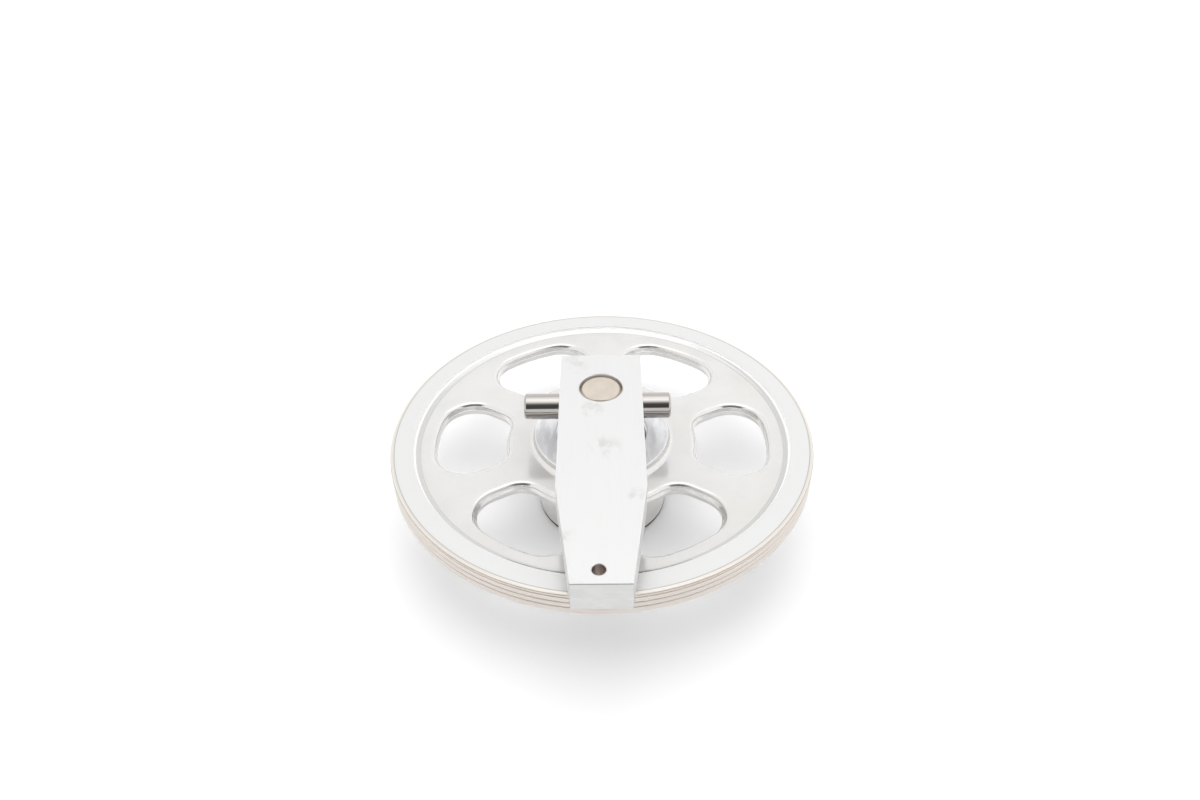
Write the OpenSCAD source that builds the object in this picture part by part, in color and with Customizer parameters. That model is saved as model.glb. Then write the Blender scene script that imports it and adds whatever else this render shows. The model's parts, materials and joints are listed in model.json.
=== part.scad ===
// Grooved belt pulley on two ball bearings, with a flat lever arm pinned to its shaft.
// Units are millimetres. The origin is on the pulley's axis, in the middle of the grooved rim.
// +Z runs along the axis towards the lever arm, and the arm's free end points to -Y.

/* [Rim] */
// Outside diameter over the grooves
rim_d = 200; // [180:1:240]
// Width of the rim along the axis
rim_w = 11; // [11:0.1:11.6]
// Radial thickness of the rim, from the outside to the recess
rim_t = 10.9; // [9:0.1:14]
// Number of belt grooves
groove_count = 3; // [1:1:3]
// Distance from one groove to the next
groove_pitch = 2.9; // [2.5:0.1:3]
// Angle between a groove's two walls
groove_angle = 40; // [36:1:50]
// Width of the flat land between two grooves
groove_land = 2.2; // [1.7:0.05:2.2]
// Height of the middle groove above the middle of the rim
groove_shift = 0.6; // [-0.6:0.1:0.6]
// Width of the flat at a groove's root
groove_root = 0.3; // [0.2:0.05:0.4]
// Radial and axial size of the bevel on the rim's upper outer corner
rim_bevel = [1.7, 0.4]; // [0.2:0.1:1.7]
// Size of the bevel on the rim's lower outer corner
rim_under_bevel = 0.2; // [0.2:0.1:1]

/* [Web and windows] */
// Depth of the web's top face below the rim's face
web_recess = 2.7; // [2.2:0.05:3]
// Radius of the hollow fillet that rises from the web to the rim
recess_fillet = 7.6; // [4:0.1:8]
// Thickness of the web
web_t = 6.8; // [5:0.1:7]
// Number of windows in the web
window_count = 6; // [5:1:6]
// Radius of the window's inner edge
window_in_r = 45.1; // [42:0.1:48]
// Radius of the window's outer edge
window_out_r = 79; // [76:0.1:81]
// Radius of the window's two inner corners
window_in_corner = 11.1; // [9:0.1:12]
// Radius of the window's two outer corners
window_out_corner = 14.6; // [12:0.1:16]
// Width of a spoke between two windows
spoke_w = 17.5; // [12:0.1:18]
// Turn of the wheel about its axis, as it stands at rest
wheel_turn = -1.4; // [-30:0.1:30]

/* [Hub] */
// Diameter of the hub at its top face
hub_d = 64; // [60:0.5:66]
// Diameter of the hub at its bottom face
hub_foot_d = 62.2; // [58:0.5:64]
// Height of the hub's top face above the middle of the rim
hub_top = 7; // [7:0.5:10]
// Length of the hub along the axis
hub_len = 43; // [43:0.5:60]
// Radius of the fillet where the hub's top meets the web
hub_fillet = 2.6; // [1:0.1:2.9]
// Distance from a hub face to the retaining ring's groove
hub_lip = 2.15; // [2:0.05:3]

/* [Lever arm] */
// Width of the arm
arm_w = 38; // [34:0.5:42]
// Thickness of the arm
arm_t = 15; // [13:0.5:18]
// Height of the arm's underside above the middle of the rim
arm_z = 18.4; // [18:0.1:19]
// Length of the arm behind the shaft
arm_back = 25; // [20:0.5:30]
// Distance from the shaft to where the arm starts to taper
arm_taper_at = 65; // [50:1:80]
// Distance from the shaft to the arm's free end
arm_reach = 117; // [115:1:140]
// Width of the arm's free end
arm_end_w = 24; // [22:0.5:32]
// Diameter of the hole at the free end
arm_hole_d = 5.5; // [5:0.5:8]
// Distance from the shaft to that hole
arm_hole_at = 110; // [105:0.5:110]
// Sideways offset of that hole from the arm's centre line
arm_hole_off = -1; // [-2:0.5:2]

/* [Shaft and cross pin] */
// Diameter of the shaft, which is the bearings' bore
shaft_d = 20; // [20:1:20]
// Depth of the shaft's end below the arm's top face
shaft_sink = 0.8; // [0:0.1:1.5]
// Bevel on the shaft's ends
shaft_bevel = 1.4; // [0.5:0.1:1.5]
// Diameter of the cross pin
pin_d = 12; // [10:0.5:12]
// Height of the cross pin's centre above the middle of the rim
pin_z = 22.4; // [21.6:0.1:23]
// Reach of the cross pin to the left and to the right of the axis
pin_reach = [35.7, 32.3]; // [30:0.1:40]
// Bevel on the cross pin's ends
pin_bevel = 0.8; // [0.3:0.1:1.2]

/* [Bearings] */
// Outside diameter of a bearing
bearing_d = 42; // [42:1:42]
// Width of a bearing
bearing_w = 12; // [12:1:12]
// Diameter of a ball
ball_d = 6.35; // [6.35:0.01:6.35]
// Diameter of the circle through the balls' centres
ball_circle_d = 31; // [31:0.1:31]
// Number of balls in a bearing
ball_count = 9; // [7:1:9]
// Gap between a ball and its tracks
ball_gap = 0.01; // [0.01:0.01:0.03]
// Gap drawn between parts that are pressed or slid together and stay together
fit_gap = 0.01; // [0.01:0.01:0.03]

/* [Hidden] */
$fn = 96;
over = 1;                                       // how far a cutter runs past what it cuts
seam = 0.001;                                   // how far a cut's straight side lies inside its tangent

// Rim and web
rim_r = rim_d / 2;
recess_r = rim_r - rim_t;
web_top = rim_w / 2 - web_recess;
web_bottom = web_top - web_t;
fillet_rise = 36;                               // slope at the top of the hollow fillet
under_fillet = rim_w / 2 + web_bottom;
groove_half = (groove_pitch - groove_land) / 2;
groove_depth = (groove_half - groove_root / 2) / tan(groove_angle / 2);

// Hub and the bearings' places
hub_bottom = hub_top - hub_len;
hub_under_fillet = 4;
hub_edge = 0.8;
bore_r = bearing_d / 2 + fit_gap;
bore_bevel = 1;
ring_groove_w = 1.85;
ring_groove_r = 22.25;
upper_top_z = hub_top - hub_lip - ring_groove_w;
upper_z = upper_top_z - bearing_w / 2;
lower_bottom_z = hub_bottom + hub_lip + ring_groove_w;
lower_z = lower_bottom_z + bearing_w / 2;
shoulder_r = 18.75;
bore_circlip_t = 1.75;
ring_slack = 0.05;

// Arm, shaft and the turned rings on it
arm_bore_bevel = 0.2;
shaft_r = shaft_d / 2;
shaft_top = arm_z + arm_t - shaft_sink;
shaft_groove_r = 9.5;
shaft_groove_w = 1.3;
washer_t = 0.5;
shaft_groove_top = lower_bottom_z - washer_t;
shaft_end_sink = 0.6;
shaft_bottom = hub_bottom + shaft_end_sink;
pin_r = pin_d / 2;
spacer_r = 12.5;
spacer_bevel = 0.4;

// Bearing sections
ball_r = ball_d / 2;
ball_circle_r = ball_circle_d / 2;
track_r = 3.3;
inner_track_centre = ball_circle_r - ball_r - ball_gap + track_r;
outer_track_centre = ball_circle_r + ball_r + ball_gap - track_r;
inner_land_r = 13.6;
outer_land_r = 17.45;
shield_seat_r = 18.6;
shield_seat_z = 4.9;
shield_in_r = 13.95;
ring_bevel = 0.5;
cage_t = 0.5;
cage_w = 2.2;
pocket_r = ball_r + 0.08;
rivet_r = 0.45;
rivet_head_r = 0.8;
rivet_head_h = 0.35;

// Points of a round stretch about [x, z], from angle a0 to angle a1
function arc(x, z, r, a0, a1, steps = 8) =
    [for (i = [0:steps]) [x + r * cos(a0 + (a1 - a0) * i / steps),
                          z + r * sin(a0 + (a1 - a0) * i / steps)]];

// A closed ring turned from r0 to r1, between z0 and z1, with bevelled corners
module turned_ring(r0, r1, z0, z1, bevel = 0) {
    rotate_extrude()
        polygon([[r0 + bevel, z0], [r1 - bevel, z0], [r1, z0 + bevel], [r1, z1 - bevel],
                 [r1 - bevel, z1], [r0 + bevel, z1], [r0, z1 - bevel], [r0, z0 + bevel]]);
}

// The section of one groove, cut inwards from the rim's outside
module groove_section() {
    slope = tan(groove_angle / 2);
    polygon([[rim_r - groove_depth, -groove_root / 2], [rim_r - groove_depth, groove_root / 2],
             [rim_r + over, groove_half + over * slope], [rim_r + over, -groove_half - over * slope]]);
}

// The wheel's section, from the hub's mouth out to the rim and back under the web
module wheel_section() {
    half = rim_w / 2;
    foot_r = hub_foot_d / 2;
    difference() {
        polygon(concat(
            [[bore_r + bore_bevel, hub_top]],
            arc(hub_d / 2 - hub_edge, hub_top - hub_edge, hub_edge, 90, 0, 4),
            arc(hub_d / 2 + hub_fillet, web_top + hub_fillet, hub_fillet, 180, 270),
            arc(recess_r - recess_fillet * sin(fillet_rise), web_top + recess_fillet, recess_fillet,
                270, 270 + fillet_rise),
            [[recess_r, half], [rim_r - rim_bevel[0], half], [rim_r, half - rim_bevel[1]],
             [rim_r, rim_under_bevel - half], [rim_r - rim_under_bevel, -half]],
            arc(recess_r - under_fillet, -half, under_fillet, 0, 90),
            arc(hub_d / 2 + hub_under_fillet, web_bottom - hub_under_fillet, hub_under_fillet, 90, 180),
            [[foot_r, hub_bottom + hub_edge], [foot_r - hub_edge, hub_bottom],
             [bore_r + bore_bevel, hub_bottom], [bore_r, hub_bottom + bore_bevel],
             [bore_r, lower_z + bearing_w / 2], [shoulder_r, lower_z + bearing_w / 2],
             [shoulder_r, upper_z - bearing_w / 2], [bore_r, upper_z - bearing_w / 2],
             [bore_r, hub_top - bore_bevel]]));
        for (i = [0:groove_count - 1])
            translate([0, groove_shift + (i - (groove_count - 1) / 2) * groove_pitch])
                groove_section();
        translate([0, upper_top_z])
            square([ring_groove_r, ring_groove_w]);
        translate([0, lower_bottom_z - ring_groove_w])
            square([ring_groove_r, ring_groove_w]);
    }
}

// One window, centred on +X: two arcs about the axis, two straight spoke sides, four round corners
module window_outline() {
    spoke_angle = 180 / window_count;
    in_centre_r = window_in_r + window_in_corner;
    out_centre_r = window_out_r - window_out_corner;
    in_angle = spoke_angle - asin((spoke_w / 2 + window_in_corner) / in_centre_r);
    out_angle = spoke_angle - asin((spoke_w / 2 + window_out_corner) / out_centre_r);
    in_centre = in_centre_r * [cos(in_angle), sin(in_angle)];
    out_centre = out_centre_r * [cos(out_angle), sin(out_angle)];
    outward = [-sin(spoke_angle), cos(spoke_angle)];
    in_side = in_centre + (window_in_corner - seam) * outward;
    out_side = out_centre + (window_out_corner - seam) * outward;
    for (side = [0, 1])
        mirror([0, side]) {
            translate(in_centre)
                circle(window_in_corner);
            translate(out_centre)
                circle(window_out_corner);
            polygon([[in_centre[0], 0], in_centre, in_side, out_side, out_centre, [out_centre[0], 0]]);
        }
    sector(window_in_r, window_out_r, out_angle);
    sector(window_in_r, in_centre_r, in_angle);
}

// Part of a flat ring between two radii, up to half_angle on each side of +X
module sector(r0, r1, half_angle) {
    reach = 2 * r1;
    intersection() {
        difference() {
            circle(r1);
            circle(r0);
        }
        polygon([[0, 0], reach * [cos(half_angle), sin(half_angle)],
                 reach * [cos(half_angle), -sin(half_angle)]]);
    }
}

// The cast wheel: grooved rim, windowed web and the hub that holds both bearings
module pulley_wheel() {
    color("gainsboro")
        rotate(wheel_turn)
            difference() {
                rotate_extrude($fn = 180)
                    wheel_section();
                for (i = [0:window_count - 1])
                    rotate(i * 360 / window_count)
                        translate([0, 0, web_bottom - over])
                            linear_extrude(web_t + 2 * over)
                                window_outline();
            }
}

// The arm's outline, seen from above
module arm_outline() {
    polygon([[arm_w / 2, arm_back], [-arm_w / 2, arm_back], [-arm_w / 2, -arm_taper_at],
             [-arm_end_w / 2, -arm_reach], [arm_end_w / 2, -arm_reach], [arm_w / 2, -arm_taper_at]]);
}

// The flat lever arm, with a slot across its underside that sits over the cross pin
module lever_arm() {
    slot_r = pin_r + fit_gap;
    color("whitesmoke")
        difference() {
            translate([0, 0, arm_z])
                linear_extrude(arm_t)
                    arm_outline();
            translate([0, 0, arm_z - over])
                cylinder(h = arm_t + 2 * over, r = shaft_r + fit_gap);
            translate([0, 0, arm_z + arm_t - arm_bore_bevel])
                cylinder(h = arm_bore_bevel + over, r1 = shaft_r + fit_gap,
                         r2 = shaft_r + fit_gap + arm_bore_bevel + over);
            translate([arm_hole_off, -arm_hole_at, arm_z - over])
                cylinder(h = arm_t + 2 * over, d = arm_hole_d);
            translate([0, 0, pin_z])
                rotate([0, 90, 0])
                    cylinder(h = arm_w + 2 * over, r = slot_r, center = true);
            translate([-arm_w / 2 - over, -slot_r, arm_z - over])
                cube([arm_w + 2 * over, 2 * slot_r, pin_z - arm_z + over]);
        }
}

// The shaft, with a cross hole for the pin and a groove for its retaining ring
module axle_shaft() {
    color("tan")
        difference() {
            rotate_extrude()
                polygon([[0, shaft_bottom], [shaft_r - shaft_bevel, shaft_bottom],
                         [shaft_r, shaft_bottom + shaft_bevel],
                         [shaft_r, shaft_groove_top - shaft_groove_w],
                         [shaft_groove_r, shaft_groove_top - shaft_groove_w],
                         [shaft_groove_r, shaft_groove_top], [shaft_r, shaft_groove_top],
                         [shaft_r, shaft_top - shaft_bevel], [shaft_r - shaft_bevel, shaft_top],
                         [0, shaft_top]]);
            translate([0, 0, pin_z])
                rotate([0, 90, 0])
                    cylinder(h = shaft_d + 2 * over, r = pin_r + fit_gap, center = true);
        }
}

// The dowel through the shaft, which stands out on both sides of the arm
module cross_pin() {
    color("dimgray")
        translate([0, 0, pin_z])
            rotate([0, 90, 0])
                rotate_extrude()
                    polygon([[0, -pin_reach[0]], [pin_r - pin_bevel, -pin_reach[0]],
                             [pin_r, pin_bevel - pin_reach[0]], [pin_r, pin_reach[1] - pin_bevel],
                             [pin_r - pin_bevel, pin_reach[1]], [0, pin_reach[1]]]);
}

// The bush between the upper bearing and the cross pin
module arm_spacer_bush() {
    color("silver")
        turned_ring(shaft_r + fit_gap, spacer_r, upper_top_z, pin_z - pin_r - fit_gap, spacer_bevel);
}

// The spacer that holds the two inner rings apart
module inner_ring_spacer() {
    color("silver")
        turned_ring(shaft_r + fit_gap, spacer_r, lower_z + bearing_w / 2, upper_z - bearing_w / 2,
                    spacer_bevel);
}

// The washer under the lower inner ring
module end_washer() {
    color("silver")
        turned_ring(shaft_r + fit_gap, spacer_r, shaft_groove_top, lower_bottom_z);
}

// Two circles of radius r, at at_r from the axis and turned by +angle and -angle from +Y
module circle_pair(at_r, r, angle) {
    for (side = [-1, 1])
        rotate(side * angle)
            translate([0, at_r])
                circle(r, $fn = 32);
}

// The retaining ring on the shaft's lower end, open between its two ears
module shaft_circlip() {
    ring_t = 1.2;
    ring_in_r = shaft_groove_r + ring_slack;
    ring_out_r = 11.8;
    thicker_away_from_gap = 0.35;
    ear_at = 11.6;
    ear_r = 2;
    ear_hole_r = 1;
    ear_angle = 16;
    gap = 2.6;
    color("slategray")
        translate([0, 0, shaft_groove_top - ring_t])
            linear_extrude(ring_t)
                difference() {
                    union() {
                        translate([0, -thicker_away_from_gap])
                            circle(ring_out_r);
                        circle_pair(ear_at, ear_r, ear_angle);
                    }
                    circle(ring_in_r);
                    circle_pair(ear_at, ear_hole_r, ear_angle);
                    translate([-gap / 2, 0])
                        square([gap, 2 * ring_out_r]);
                }
}

// A retaining ring in the hub's bore, with its underside at z = 0
module bore_circlip() {
    ring_in_r = 18.7;
    thicker_away_from_gap = 0.6;
    ear_at = 18.4;
    ear_r = 2.6;
    ear_hole_r = 1.25;
    ear_angle = 12;
    gap = 3.2;
    color("slategray")
        linear_extrude(bore_circlip_t)
            difference() {
                union() {
                    difference() {
                        circle(ring_groove_r - ring_slack);
                        translate([0, thicker_away_from_gap])
                            circle(ring_in_r);
                    }
                    circle_pair(ear_at, ear_r, ear_angle);
                }
                circle_pair(ear_at, ear_hole_r, ear_angle);
                translate([-gap / 2, 0])
                    square([gap, 2 * ring_groove_r]);
            }
}

// A bearing's outer ring about z = 0, with its ball track and two shield seats
module outer_ring() {
    out_r = bearing_d / 2;
    half = bearing_w / 2;
    color("lightsteelblue")
        rotate_extrude()
            difference() {
                polygon([[outer_land_r, -shield_seat_z], [shield_seat_r, -shield_seat_z],
                         [shield_seat_r, -half], [out_r - ring_bevel, -half], [out_r, ring_bevel - half],
                         [out_r, half - ring_bevel], [out_r - ring_bevel, half], [shield_seat_r, half],
                         [shield_seat_r, shield_seat_z], [outer_land_r, shield_seat_z]]);
                translate([outer_track_centre, 0])
                    circle(track_r);
            }
}

// A bearing's inner ring about z = 0
module inner_ring() {
    half = bearing_w / 2;
    in_r = shaft_r + fit_gap;
    color("lightsteelblue")
        rotate_extrude()
            difference() {
                polygon([[in_r + ring_bevel, -half], [inner_land_r, -half], [inner_land_r, half],
                         [in_r + ring_bevel, half], [in_r, half - ring_bevel], [in_r, ring_bevel - half]]);
                translate([inner_track_centre, 0])
                    circle(track_r);
            }
}

// Places its children at each ball, or midway between balls with shift = 0.5
module round_the_balls(shift = 0) {
    for (i = [0:ball_count - 1])
        rotate((i + shift) * 360 / ball_count)
            translate([ball_circle_r, 0, 0])
                children();
}

// The balls of one bearing
module ball_set() {
    color("silver")
        round_the_balls()
            sphere(ball_r, $fn = 48);
}

// One pressed half of the ball cage: round pockets joined by flats, on the side of +Z
module cage_half() {
    color("darkkhaki")
        difference() {
            intersection() {
                turned_ring(ball_circle_r - cage_w / 2, ball_circle_r + cage_w / 2, 0, bearing_w / 2);
                union() {
                    cylinder(h = cage_t, r = bearing_d / 2);
                    round_the_balls()
                        sphere(pocket_r + cage_t, $fn = 48);
                }
            }
            round_the_balls()
                sphere(pocket_r, $fn = 48);
            round_the_balls(0.5)
                cylinder(h = 3 * cage_t, r = rivet_r + fit_gap, center = true, $fn = 24);
        }
}

// The rivets that join the two cage halves
module cage_rivets() {
    color("goldenrod")
        round_the_balls(0.5) {
            cylinder(h = 2 * cage_t + rivet_head_h, r = rivet_r, center = true, $fn = 24);
            for (side = [0, 1])
                mirror([0, 0, side])
                    translate([0, 0, cage_t + fit_gap])
                        cylinder(h = rivet_head_h, r = rivet_head_r, $fn = 24);
        }
}

// A bearing's sheet metal shield on the side of +Z, with a thick crimped edge in its seat
module shield() {
    plate_low = 5.1;
    plate_high = 5.45;
    crimp_high = 5.6;
    crimp_w = 0.4;
    step_w = 0.2;
    edge_r = shield_seat_r - fit_gap;
    edge_z = shield_seat_z + fit_gap;
    color("lightgray")
        rotate_extrude()
            polygon([[shield_in_r, plate_low], [edge_r - crimp_w, plate_low], [edge_r - crimp_w, edge_z],
                     [edge_r, edge_z], [edge_r, crimp_high], [edge_r - crimp_w, crimp_high],
                     [edge_r - crimp_w - step_w, plate_high], [shield_in_r, plate_high]]);
}

module upper_bore_circlip() {
    translate([0, 0, upper_top_z + fit_gap])
        bore_circlip();
}

module lower_bore_circlip() {
    translate([0, 0, lower_bottom_z - fit_gap - bore_circlip_t])
        rotate(180)
            bore_circlip();
}

module upper_outer_ring() {
    translate([0, 0, upper_z])
        outer_ring();
}

module upper_inner_ring() {
    translate([0, 0, upper_z])
        inner_ring();
}

module upper_balls() {
    translate([0, 0, upper_z])
        ball_set();
}

module upper_cage_top_half() {
    translate([0, 0, upper_z])
        cage_half();
}

module upper_cage_bottom_half() {
    translate([0, 0, upper_z])
        mirror([0, 0, 1])
            cage_half();
}

module upper_cage_rivets() {
    translate([0, 0, upper_z])
        cage_rivets();
}

module upper_top_shield() {
    translate([0, 0, upper_z])
        shield();
}

module upper_bottom_shield() {
    translate([0, 0, upper_z])
        mirror([0, 0, 1])
            shield();
}

module lower_outer_ring() {
    translate([0, 0, lower_z])
        outer_ring();
}

module lower_inner_ring() {
    translate([0, 0, lower_z])
        inner_ring();
}

module lower_balls() {
    translate([0, 0, lower_z])
        ball_set();
}

module lower_cage_top_half() {
    translate([0, 0, lower_z])
        cage_half();
}

module lower_cage_bottom_half() {
    translate([0, 0, lower_z])
        mirror([0, 0, 1])
            cage_half();
}

module lower_cage_rivets() {
    translate([0, 0, lower_z])
        cage_rivets();
}

module lower_top_shield() {
    translate([0, 0, lower_z])
        shield();
}

module lower_bottom_shield() {
    translate([0, 0, lower_z])
        mirror([0, 0, 1])
            shield();
}

pulley_wheel();
lever_arm();
axle_shaft();
cross_pin();
arm_spacer_bush();
inner_ring_spacer();
end_washer();
shaft_circlip();
upper_bore_circlip();
lower_bore_circlip();
upper_outer_ring();
upper_inner_ring();
upper_balls();
upper_cage_top_half();
upper_cage_bottom_half();
upper_cage_rivets();
upper_top_shield();
upper_bottom_shield();
lower_outer_ring();
lower_inner_ring();
lower_balls();
lower_cage_top_half();
lower_cage_bottom_half();
lower_cage_rivets();
lower_top_shield();
lower_bottom_shield();
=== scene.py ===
"""Looks of the grooved belt pulley and its lever arm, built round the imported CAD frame.

Lengths are written in millimetres, and turned into metres where a mesh is made.
"""
import json
from math import asin, atan2, cos, pi, radians, sin, tan

import bmesh
import bpy
from mathutils import Matrix, Vector


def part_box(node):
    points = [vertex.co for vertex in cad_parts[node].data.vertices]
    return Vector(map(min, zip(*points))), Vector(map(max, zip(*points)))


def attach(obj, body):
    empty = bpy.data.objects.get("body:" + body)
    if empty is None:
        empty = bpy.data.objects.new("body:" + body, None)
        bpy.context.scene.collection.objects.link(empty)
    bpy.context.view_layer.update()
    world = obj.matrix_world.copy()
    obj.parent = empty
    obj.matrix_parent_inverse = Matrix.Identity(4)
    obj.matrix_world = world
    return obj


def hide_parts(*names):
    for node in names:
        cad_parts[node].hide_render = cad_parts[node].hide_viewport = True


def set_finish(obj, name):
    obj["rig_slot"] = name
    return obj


MM = 0.001
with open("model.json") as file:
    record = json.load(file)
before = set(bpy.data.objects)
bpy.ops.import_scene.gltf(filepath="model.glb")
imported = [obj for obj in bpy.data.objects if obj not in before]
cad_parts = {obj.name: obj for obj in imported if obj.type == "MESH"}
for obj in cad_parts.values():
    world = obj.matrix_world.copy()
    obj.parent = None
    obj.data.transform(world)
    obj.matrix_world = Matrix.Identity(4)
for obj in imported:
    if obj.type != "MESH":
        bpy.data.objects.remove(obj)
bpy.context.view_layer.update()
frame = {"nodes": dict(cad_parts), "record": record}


def node_box(node):
    """Lowest and highest corner of a CAD node, in millimetres."""
    low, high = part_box(node)
    return low / MM, high / MM


# ---------------------------------------------------------------- sizes, in millimetres

wheel_low, wheel_high = node_box("pulley_wheel")
arm_low, arm_high = node_box("lever_arm")
pin_low, pin_high = node_box("cross_pin")
shaft_high = node_box("axle_shaft")[1]

# Where the frame's boxes don't give a size, it is the same value as in the CAD model.
# The wheel's rim and web.
RIM_R = wheel_high.x
RIM_HALF = 5.5
RIM_BEVEL = (1.7, 0.4)
RIM_UNDER_BEVEL = 0.2
RECESS_R = RIM_R - 10.9
RECESS_FILLET = 7.6
FILLET_RISE = 36
WEB_TOP = 2.8
WEB_BOTTOM = -4.0
WEB_MID = (WEB_TOP + WEB_BOTTOM) / 2
EDGE_SOFTENING = 0.16

# The wheel's hub and bore.
HUB_TOP = wheel_high.z
HUB_BOTTOM = wheel_low.z
HUB_R = 32.0
HUB_FOOT_R = 31.1
HUB_FILLET = 2.6
HUB_EDGE = 0.8
UNDER_FILLET = 4.0
BORE_R = 21.01
BORE_BEVEL = 1.0
SHOULDER_R = 18.75
CLIP_GROOVE_R = 22.25
CLIP_GROOVE_W = 1.85
CLIP_LIP = 2.15
BEARING_W = 12.0

# The belt grooves.
GROOVES = 3
GROOVE_PITCH = 2.9
GROOVE_LAND = 2.2
GROOVE_SHIFT = 0.6
GROOVE_ROOT = 0.3
GROOVE_ANGLE = 40.0

# The windows in the web.
WINDOWS = 6
WINDOW_IN_R = 45.1
WINDOW_OUT_R = 79.0
WINDOW_IN_CORNER = 11.1
WINDOW_OUT_CORNER = 14.6
SPOKE_W = 17.5
WHEEL_TURN = -1.4
WINDOW_TOP_ROUND = 2.5
WINDOW_UNDER_ROUND = 1.4
WINDOW_DRAFT = 0.35
PARTING_RIDGE = 0.22
RIDGE_HALF = 0.25
RIDGE_CREST_HALF = 0.1

# The shaft, the pin and the arm. Each smudge on the arm is (x, y, reach).
SHAFT_R = shaft_high.x
PIN_R = (pin_high.z - pin_low.z) / 2
PIN_Z = (pin_high.z + pin_low.z) / 2
ARM_HOLE = (-1.0, -110.0)
ARM_HOLE_R = 2.75
ARM_TAPER_Y = -65.0
ARM_END_W = 24.0
ARM_BORE_GAP = 0.05
PIN_SLOT_GAP = 0.03
SMUDGES = ((-12.5, 17.5, 8.0), (-4.0, -15.5, 7.0), (1.5, -41.0, 9.0),
           (14.5, -70.0, 5.0), (-14.0, -92.0, 5.0))


# ---------------------------------------------------------------- mesh helpers

WELD = 0.0005


def arc(centre_r, centre_z, radius, start, end, steps):
    """Points of a round stretch, with its angles in degrees."""
    turn = [radians(start + (end - start) * i / steps) for i in range(steps + 1)]
    return [(centre_r + radius * cos(a), centre_z + radius * sin(a)) for a in turn]


def rounded(points, radius, steps=3):
    """The same open chain with each inner corner rounded off."""
    chain = [points[0]]
    for before, corner, after in zip(points, points[1:], points[2:]):
        corner_v = Vector(corner)
        to_before = Vector(before) - corner_v
        to_after = Vector(after) - corner_v
        reach = min(radius, to_before.length * 0.4, to_after.length * 0.4)
        start = corner_v + to_before.normalized() * reach
        end = corner_v + to_after.normalized() * reach
        for i in range(steps + 1):
            t = i / steps
            chain.append(tuple(start * (1 - t) ** 2 + corner_v * 2 * t * (1 - t) + end * t * t))
    chain.append(points[-1])
    return chain


def sweep(bm, chain, count, start=0.0):
    """Turns an open chain of (radius, z) about the Z axis."""
    rows = []
    for i in range(count):
        a = radians(start + 360 * i / count)
        rows.append([bm.verts.new((r * cos(a), r * sin(a), z)) for r, z in chain])
    for i in range(count):
        here, there = rows[i], rows[(i + 1) % count]
        for j in range(len(chain) - 1):
            bm.faces.new((here[j], there[j], there[j + 1], here[j + 1]))
    return rows


def bridge(bm, loop_a, loop_b):
    """Quads between two closed loops of the same length."""
    count = len(loop_a)
    for i in range(count):
        k = (i + 1) % count
        bm.faces.new((loop_a[i], loop_a[k], loop_b[k], loop_b[i]))


def finished(name, bm, body, slot, replaced=(), sharp=32.0):
    """Turns a bmesh in millimetres into a piece that rides on a body."""
    bmesh.ops.remove_doubles(bm, verts=bm.verts, dist=WELD)
    bmesh.ops.recalc_face_normals(bm, faces=bm.faces)
    bmesh.ops.scale(bm, vec=(MM, MM, MM), verts=bm.verts)
    mesh = bpy.data.meshes.new(name)
    bm.to_mesh(mesh)
    bm.free()
    mesh.shade_smooth()
    mesh.set_sharp_from_angle(angle=radians(sharp))
    piece = bpy.data.objects.new(name, mesh)
    bpy.context.scene.collection.objects.link(piece)
    even = piece.modifiers.new("even_normals", "WEIGHTED_NORMAL")
    even.keep_sharp = True
    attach(piece, body)
    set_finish(piece, slot)
    if replaced:
        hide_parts(*replaced)
    return piece


# ---------------------------------------------------------------- the wheel

SECTOR = 360 / WINDOWS
HUB_STEPS = 32
RIM_STEPS = 60
SPOKE_STEPS = 20
WEB_IN_R = 38.0
WEB_OUT_R = 84.2


def groove_chain():
    """The rim's outside from its top corner to its bottom corner, across the belt grooves."""
    half_mouth = (GROOVE_PITCH - GROOVE_LAND) / 2
    depth = (half_mouth - GROOVE_ROOT / 2) / tan(radians(GROOVE_ANGLE / 2))
    bevel_start = (RIM_R - RIM_BEVEL[0], RIM_HALF)
    top_corner = (RIM_R, RIM_HALF - RIM_BEVEL[1])
    first_mouth = (RIM_R, GROOVE_SHIFT + (GROOVES - 1) / 2 * GROOVE_PITCH + half_mouth)
    points = rounded([bevel_start, top_corner, first_mouth], 0.6, 6)[:-1]
    for i in range(GROOVES):
        z = GROOVE_SHIFT + ((GROOVES - 1) / 2 - i) * GROOVE_PITCH
        points += [(RIM_R, z + half_mouth), (RIM_R - depth, z + GROOVE_ROOT / 2),
                   (RIM_R - depth, z - GROOVE_ROOT / 2), (RIM_R, z - half_mouth)]
    points += [(RIM_R, RIM_UNDER_BEVEL - RIM_HALF), (RIM_R - RIM_UNDER_BEVEL, -RIM_HALF)]
    return points


def rim_chain():
    """From the web's top, out over the recess wall and the rim, and back to the web's underside."""
    under = RIM_HALF + WEB_BOTTOM
    fillet_centre = RECESS_R - RECESS_FILLET * sin(radians(FILLET_RISE))
    outside = [(RECESS_R, RIM_HALF - EDGE_SOFTENING), (RECESS_R, RIM_HALF)] + groove_chain()
    outside += [(RECESS_R, -RIM_HALF), (RECESS_R, 0.3 - RIM_HALF)]
    return ([(WEB_OUT_R, WEB_TOP)]
            + arc(fillet_centre, WEB_TOP + RECESS_FILLET, RECESS_FILLET, 270, 270 + FILLET_RISE, 14)
            + rounded(outside, EDGE_SOFTENING)
            + arc(RECESS_R - under, -RIM_HALF, under, 10, 90, 8)
            + [(WEB_OUT_R, WEB_BOTTOM)])


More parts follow.
